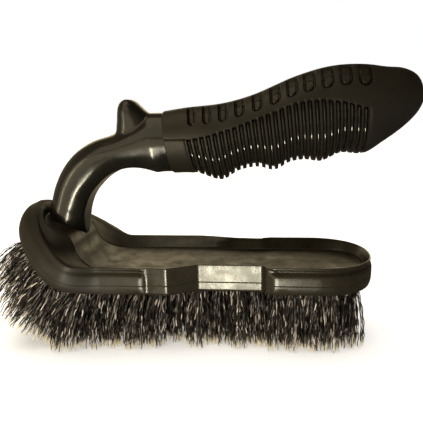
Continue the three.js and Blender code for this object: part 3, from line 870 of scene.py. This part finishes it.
def rib_place(x, z):
    """Distance from the nearest gap's middle, depth below the rib line, share of ribs, and gaps passed."""
    pitch = (LAST_GAP_X - FIRST_GAP_X) / (RIB_GAPS - 1)
    below = along(RIB_LINE, x) - z
    place = (x - FIRST_GAP_X) / pitch
    for _ in range(3):
        lean = FIRST_GAP_LEAN + (LAST_GAP_LEAN - FIRST_GAP_LEAN) * np.clip(place / (RIB_GAPS - 1), 0, 1)
        place = (x - np.maximum(below, 0) * np.tan(lean) - FIRST_GAP_X) / pitch
    nearest = np.clip(np.round(place), 0, RIB_GAPS - 1)
    ribbed = smoothstep(place, -0.9, -0.5) * (1 - smoothstep(place, RIB_GAPS - 0.5, RIB_GAPS - 0.1))
    return np.abs(place - nearest) * pitch, below, ribbed, place


def rib_depth(x, z, underneath):
    """How far the sleeve's skin lies below the grip's outline: gaps, rib tops and the collar's line."""
    offset, below, ribbed, place = rib_place(x, z)
    gap_half = GAP_HALF_WIDTH - 0.28 * underneath
    gap = 1 - smoothstep(offset - gap_half, -0.1, 0.1)
    under = smoothstep(below, 0.0, 0.5)
    line = (1 - smoothstep(np.abs(below), 0.12, 0.42)) * (place < -0.3) * COLLAR_LINE_DEPTH
    return np.maximum(under * np.maximum(gap * GAP_DEPTH, ribbed * RIB_TOP_DEPTH), line)


def core_ribs():
    """The glossy core's own ribs, which stand up in the gaps of the sleeve."""
    tops, bottoms, halves = smooth_stations(GRIP, FINE_STATIONS)
    used = (bottoms[:, 0] > FIRST_GAP_X - 4) & (tops[:, 0] < LAST_GAP_X + 4)
    stations = tops[used], bottoms[used], halves[used]
    rings = rings_of(*stations, 0, CORE_RIB_SIDES)
    inward = unit_rows(rings_of(*stations, 1.0, CORE_RIB_SIDES) - rings)
    offset, below, _, _ = rib_place(rings[:, :, 0], rings[:, :, 2])
    crown = CORE_RIB_DEPTH + (offset / CORE_RIB_HALF_WIDTH) ** 2
    underneath = smoothstep(inward[:, :, 2], 0.7, 0.98)
    hidden = 1 - smoothstep(below, -0.2, 0.7)
    depth = np.minimum(crown + underneath * 1.3 + hidden * 1.6, CORE_RIB_MAX_DEPTH)
    obj = lofted("core_ribs", rings + inward * depth[:, :, None], sharp_angle=70)
    return declare(obj, RIB_GLOSS, "core", "handle_core")


def pad_depth(x, down):
    """Depth of the thumb pads: a U with a pocket on top, its deeper side turning from left to right."""
    depth = np.zeros_like(x)
    for i, place in enumerate(PAD_PLACES):
        share = i / (len(PAD_PLACES) - 1)
        half_width, lean, pocket_depth = [
            first + (last - first) * share for first, last in (PAD_HALF_WIDTHS, PAD_LEANS, PAD_POCKETS)]
        step = PAD_STEP + PAD_STEP_FALL * share
        bottom = PAD_BOTTOM + PAD_BOTTOM_FALL * smoothstep(share, 0.4, 0.9)
        drop = down - PAD_TOP
        across = x - place - lean * drop
        reach = np.hypot(across, np.maximum(0, down - bottom + half_width))
        edge = np.minimum(half_width - reach, drop)
        to_right = smoothstep(across, -half_width, half_width)
        cut = PAD_GROOVE - 1.7 * to_right * (1 - share) - 0.7 * (1 - to_right) * share
        outline = cut * (1 - smoothstep(np.abs(edge - 0.5), *GROOVE_SIDE))
        shelf = PAD_SHELF * (1 - smoothstep(np.abs(down - step), *GROOVE_SIDE)) * (edge > 0)
        within = smoothstep(edge, 0.0, 0.3)
        pocket = pocket_depth * within * (1 - smoothstep(down, step - 0.3, step + 0.1))
        for part in (outline, shelf, pocket, PAD_FIELD * within):
            depth = np.maximum(depth, part)
    return depth


def grip_sleeve():
    """The soft grip: ribs, pads and collar line are moved into one fine skin."""
    tops, bottoms, halves = smooth_stations(GRIP, FINE_STATIONS)
    rings = rings_of(tops, bottoms, halves, 0, SLEEVE_SIDES)
    inward = unit_rows(rings_of(tops, bottoms, halves, 1.0, SLEEVE_SIDES) - rings)
    steps = np.linalg.norm(np.diff(rings, axis=1), axis=2)
    crest = SLEEVE_SIDES // 4
    travelled = np.concatenate([np.zeros((len(rings), 1)), np.cumsum(steps, axis=1)], 1)
    down = np.abs(travelled - travelled[:, crest : crest + 1])
    down = np.minimum(down, travelled[:, -1:] - down)
    underneath = smoothstep(inward[:, :, 2], 0.6, 0.95)
    depth = rib_depth(rings[:, :, 0], rings[:, :, 2], underneath) + pad_depth(rings[:, :, 0], down)
    from_collar = np.linalg.norm(tops - tops[0], axis=1)
    edge = np.clip(1 - from_collar / SLEEVE_EDGE, 0, 1)
    rounding = SLEEVE_EDGE * (1 - np.sqrt(1 - edge**2))
    obj = lofted("grip_skin", rings + inward * (depth + rounding[:, None])[:, :, None], sharp_angle=65)
    return declare(obj, GRIP_RUBBER, "grip", "grip_sleeve")


# ---------------------------------------------------------------- screws and bristles

def screws():
    """Pan heads with rounded edges, in their wells under the nose."""
    for i, (u, y) in enumerate(SCREW_PLACES):
        name = f"foot_screw_{i + 1}"
        top = SCREW_HEAD_BASE + SCREW_HEAD_HEIGHT
        head = pegs(f"{name}_fine", [(u, y)], SCREW_HEAD_RADIUS, SCREW_HEAD_BASE, top, 40)
        bevel = head.modifiers.new("edge", "BEVEL")
        bevel.width = SCREW_EDGE * MM
        bevel.segments = 4
        bevel.limit_method = "ANGLE"
        apply_modifiers(head)
        shade(head.data, 40)
        declare(head, STEEL, "screws", name)


def filament_points(roots, tips, downs, radii):
    """Crimped filaments, which spread early and then run straight.

    Returns points (filament, step, 3 corners, 3) and the share of the length at each step.
    """
    count = len(roots)
    t = np.linspace(0, 1, FILAMENT_STEPS)
    travel = tips - roots
    fall = np.sum(travel * downs, axis=1, keepdims=True) * downs
    spread = (travel - fall)[:, None] * (1 - (1 - t[None, :, None]) ** SPREAD_EASE)
    axis = unit_rows(travel)
    side = unit_rows(np.cross(axis, rng.normal(size=(count, 3))))
    other = np.cross(axis, side)
    half_waves = np.arange(FILAMENT_STEPS)[None, :] / STEPS_PER_CRIMP + rng.uniform(0, 2, (count, 1))
    wave = (np.abs(half_waves % 2 - 1) - 0.5) * rng.uniform(0.7, 1.3, (count, 1))
    sway = rng.normal(0, SWAY, (count, 1)) * np.sin(t[None, :] * 2.4)
    line = roots[:, None] + fall[:, None] * t[None, :, None] + spread
    line = line + side[:, None] * (wave * CRIMP_HEIGHT)[:, :, None] + other[:, None] * sway[:, :, None]
    corners = []
    for turn in (0, 2 * np.pi / 3, 4 * np.pi / 3):
        offset = side * math.cos(turn) + other * math.sin(turn)
        corners.append(line + offset[:, None] * radii[:, None, None])
    return np.stack(corners, 2), t


def tuft_lines(u, y, length, side_flare):
    """Roots, tips and downward directions of one tuft's filaments, which lean to the nose in front."""
    origin = bend(u, y, 0.0)
    up = bend(u, y, 1.0) - origin
    side = np.array([up[2], 0, -up[0]])
    spot = np.sqrt(rng.uniform(0, 1, FILAMENTS_PER_TUFT))
    angle = rng.uniform(0, 2 * np.pi, FILAMENTS_PER_TUFT)
    du, dy = spot * np.cos(angle), spot * np.sin(angle)
    run = BEND_X - u
    lean = FRONT_LEAN * smoothstep(run, -60, -8) * (1 - smoothstep(run, 4, 14))
    fan = 1 + NOSE_FAN * smoothstep(run, -6, 6) * (1 - smoothstep(run, 30, 44))
    reach = length + BRISTLE_TRIM * rng.standard_normal(FILAMENTS_PER_TUFT)
    top = UNDERSIDE + HOLE_DEPTH - 0.5
    across = np.array([0, 1.0, 0])
    roots = origin + np.outer(du * ROOT_SPREAD, side) + np.outer(dy * ROOT_SPREAD, across) + top * up
    slide = du * TUFT_SPREAD * fan * rng.uniform(0.75, 1.2, FILAMENTS_PER_TUFT)
    slide = slide - math.sin(lean) * reach
    drift = dy * TUFT_SPREAD * rng.uniform(0.8, 1.1, FILAMENTS_PER_TUFT) + y * side_flare
    fall = UNDERSIDE - math.cos(lean) * reach
    tips = origin + np.outer(slide, side) + np.outer(drift, across) + np.outer(fall, up)
    return roots, tips, np.tile(-up, (FILAMENTS_PER_TUFT, 1))


def bristle_length(run):
    """Length below the block by distance past the bend: longest round the bend, short at the nose's tip."""
    return along(BRISTLE_LENGTHS, run)


def bristle_rows():
    """One object of crimped filaments for each row of tufts."""
    names = sorted(name for name in frame["nodes"] if name.startswith("tuft_row_"))
    quads = np.array(grid_faces(FILAMENT_STEPS, 3, close_columns=True))
    for column, (u, places) in enumerate(COLUMNS):
        row = f"tuft_row_{column + 1:02d}"
        length = bristle_length(BEND_X - u)
        reach = min(TIP_HALF_WIDTH, float(rim_half(u, -1)) - 2) - TUFT_SPREAD
        side_flare = max(0, reach / max(places) - 1)
        lines = [tuft_lines(u, y, length, side_flare) for y in places]
        roots, tips, downs = [np.vstack(part) for part in zip(*lines)]
        tips[:, 2] = np.maximum(tips[:, 2], TIP_FLOOR + rng.exponential(0.4, len(tips)))
        count = len(roots)
        points, t = filament_points(roots, tips, downs, rng.uniform(*FILAMENT_RADII, count))
        starts = np.arange(count) * FILAMENT_STEPS * 3
        faces = (starts[:, None, None] + quads[None]).reshape(-1, 4).tolist()
        ends = (starts[:, None] + (FILAMENT_STEPS - 1) * 3 + np.arange(3)).tolist()
        heads = (starts[:, None] + np.arange(3)[::-1]).tolist()
        obj = new_mesh(f"bristles_{row[-2:]}", points.reshape(-1, 3), faces + ends + heads, 80)
        # Painted glints: each crimp stretch gets a random grey, and the light ones stand in for highlights
        # on its facets; a small share is a random grey for each filament.
        glint_facets = rng.uniform(0, 1, (count, FILAMENT_STEPS // STEPS_PER_CRIMP + 1))
        glint_facets = glint_facets.repeat(STEPS_PER_CRIMP, axis=1)[:, :FILAMENT_STEPS]
        tone = 0.2 * rng.uniform(0, 1, (count, 1)) + 0.8 * glint_facets**1.6
        tip = (t[None, :] + rng.uniform(-0.1, 0.03, (count, 1))).repeat(3, axis=1).ravel()
        for key, values in (("tone", tone.repeat(3, axis=1).ravel()), ("tip", tip)):
            attribute = obj.data.attributes.new(key, "FLOAT", "POINT")
            attribute.data.foreach_set("value", values.astype(np.float32))
        declare(obj, BRISTLE, "bristles", *[name for name in names if name.startswith(row)])


# ---------------------------------------------------------------- stage

CAMERA_PLACE = Vector((24.892, -201.937, 100.807)) * MM
CAMERA_YAW = math.radians(6)
CAMERA_PITCH = math.radians(12)
CAMERA_ROLL = math.radians(-1.15)
LENS = 38.3
WARM = (1, 0.86, 0.58)
PALE_WARM = (1, 0.93, 0.7)
DEEP_WARM = (1, 0.82, 0.5)

# Panels of light: name, place, target, size, radiance, colour, and the pieces lit, none for all.
PANELS = [
    ("key_above", (-120, -60, 520), (0, 0, 60), (330, 300), 1.15, WARM, ()),
    ("back_panel", (-190, 600, 290), (0, 0, 40), (620, 280), 1.1, DEEP_WARM, ()),
    ("front_left", (-300, -340, 70), (-20, 0, 60), (520, 240), 1.15, WARM, ()),
    ("strip_left", (-330, -230, 60), (-60, -10, 72), (26, 260), 10.0, WARM,
     ("handle_core_fine", "grip_skin")),
    ("bristle_fill", (-230, -360, 60), (-20, -30, 12), (240, 120), 6.5, PALE_WARM, ("bristles_",)),
    ("low_window", (-6, -300, -71), (12, -21, 33), (66, 44), 68.0, PALE_WARM, ("bumper_ring",)),
    ("rib_glints", (40, -98, 10), (26, -13, 85), (58, 9), 140.0, PALE_WARM, ("core_ribs",)),
    ("neck_glints", (-62, -150, 18), (-45, -10, 75), (8, 66), 85.0, PALE_WARM, ("handle_core_fine",)),
    ("slope_glow", (260, 520, 150), (-50, 0, 50), (260, 200), 1.8, DEEP_WARM,
     ("bumper_ring", "floor_panel")),
    ("neck_sheen", (-190, -250, 320), (-40, 0, 80), (300, 270), 1.0, WARM, ("handle_core_fine",)),
    ("collar_glow", (-60, -130, 62), (-8, -12, 86), (44, 60), 9.0, WARM, ("grip_skin",)),
]

# The room round the brush, from the floor to the ceiling, and its dark right side.
ROOM = [(0.12, (0.04, 0.034, 0.022)), (0.2, (0.09, 0.075, 0.049)), (0.28, (0.32, 0.262, 0.168)),
        (0.6, (0.3, 0.245, 0.158)), (0.85, (0.13, 0.106, 0.068))]
ROOM_RIGHT = (0.02, 0.017, 0.012)
FLOOR_HALF = 4000
FLOOR_Z = -0.4


def camera():
    """The camera, turned by yaw, pitch and roll at its place."""
    forward = Vector((-math.sin(CAMERA_YAW) * math.cos(CAMERA_PITCH),
                      math.cos(CAMERA_YAW) * math.cos(CAMERA_PITCH), -math.sin(CAMERA_PITCH)))
    right = Vector((math.cos(CAMERA_YAW), math.sin(CAMERA_YAW), 0))
    up = right.cross(forward)
    c, s = math.cos(CAMERA_ROLL), math.sin(CAMERA_ROLL)
    right, up = c * right + s * up, c * up - s * right
    data = bpy.data.cameras.new("camera")
    data.lens = LENS
    data.sensor_width = 36
    obj = bpy.data.objects.new("camera", data)
    turn = Matrix((right, up, -forward)).transposed().to_4x4()
    obj.matrix_world = Matrix.Translation(CAMERA_PLACE) @ turn
    bpy.context.scene.collection.objects.link(obj)
    bpy.context.scene.camera = obj


def area_light(name, place, target, size, radiance, colour):
    """A rectangular light of a given radiance, seen in reflections only."""
    data = bpy.data.lights.new(name, "AREA")
    data.shape = "RECTANGLE"
    data.size, data.size_y = size[0] * MM, size[1] * MM
    data.energy = radiance * math.pi * data.size * data.size_y
    data.color = colour
    obj = bpy.data.objects.new(name, data)
    place, target = Vector(place) * MM, Vector(target) * MM
    obj.location = place
    obj.rotation_euler = (target - place).to_track_quat("-Z", "Y").to_euler()
    obj.visible_camera = False
    bpy.context.scene.collection.objects.link(obj)
    return obj


def lights(paper):
    """A wash over the floor, and the panels with what each of them lights."""
    sun = bpy.data.lights.new("paper_wash", "SUN")
    sun.energy = 2.6
    sun.angle = math.radians(70)
    sun_object = bpy.data.objects.new("paper_wash", sun)
    bpy.context.scene.collection.objects.link(sun_object)
    light_only(sun_object, paper)
    for *settings, lit in PANELS:
        lamp = area_light(*settings)
        if lit:
            light_only(lamp, *[obj for obj in bpy.data.objects if obj.name.startswith(lit)])
    # The low window shines from below the floor, so nothing but the bumper blocks it.
    window = bpy.data.objects["low_window"].light_linking
    window.blocker_collection = window.receiver_collection


def light_only(lamp, *objects):
    """Makes a lamp light nothing but these objects."""
    lit = bpy.data.collections.new(f"{lamp.name}_lights")
    for obj in objects:
        lit.objects.link(obj)
    lamp.light_linking.receiver_collection = lit


def world():
    """White to the camera; a dim warm room, darkest overhead and to the right, to everything else."""
    surroundings = bpy.data.worlds.new("studio")
    surroundings.use_nodes = True
    tree = surroundings.node_tree
    background = tree.nodes["Background"]
    place = tree.nodes.new("ShaderNodeTexCoord")
    parts = tree.nodes.new("ShaderNodeSeparateXYZ")
    tree.links.new(place.outputs["Generated"], parts.inputs["Vector"])
    height = remap(tree, parts.outputs["Z"], -1, 1, 0, 1)
    room = ramp(tree, height, ROOM)
    side = remap(tree, parts.outputs["X"], 0.05, 0.6, 0.0, 0.8)
    dimmed = add(tree, "ShaderNodeMix", data_type="RGBA")
    tree.links.new(side, dimmed.inputs["Factor"])
    tree.links.new(room, dimmed.inputs["A"])
    dimmed.inputs["B"].default_value = (*ROOM_RIGHT, 1)
    path = tree.nodes.new("ShaderNodeLightPath")
    seen = add(tree, "ShaderNodeMix", data_type="RGBA")
    tree.links.new(path.outputs["Is Camera Ray"], seen.inputs["Factor"])
    tree.links.new(dimmed.outputs["Result"], seen.inputs["A"])
    seen.inputs["B"].default_value = (1, 1, 1, 1)
    tree.links.new(seen.outputs["Result"], background.inputs["Color"])
    bpy.context.scene.world = surroundings


def floor():
    """Pale paper under the tips of the bristles, left out of reflections."""
    corners = [(x * FLOOR_HALF, y * FLOOR_HALF, FLOOR_Z) for x, y in ((-1, -1), (1, -1), (1, 1), (-1, 1))]
    obj = new_mesh("floor", np.array(corners, float), [(0, 1, 2, 3)])
    material, tree, shader = new_material("floor_paper", (0.88, 0.875, 0.86), 0.8, specular=0.1)
    shader.inputs["Emission Color"].default_value = (1, 0.98, 0.95, 1)
    shader.inputs["Emission Strength"].default_value = 0.4
    bump(tree, shader, noise(tree, 300, 3), 0.00005)
    obj.data.materials.append(material)
    obj.visible_glossy = False
    return obj


block()
bumper()
handle_core()
core_ribs()
grip_sleeve()
screws()
bristle_rows()
lights(floor())
world()
camera()
bpy.context.scene.view_settings.view_transform = "Standard"
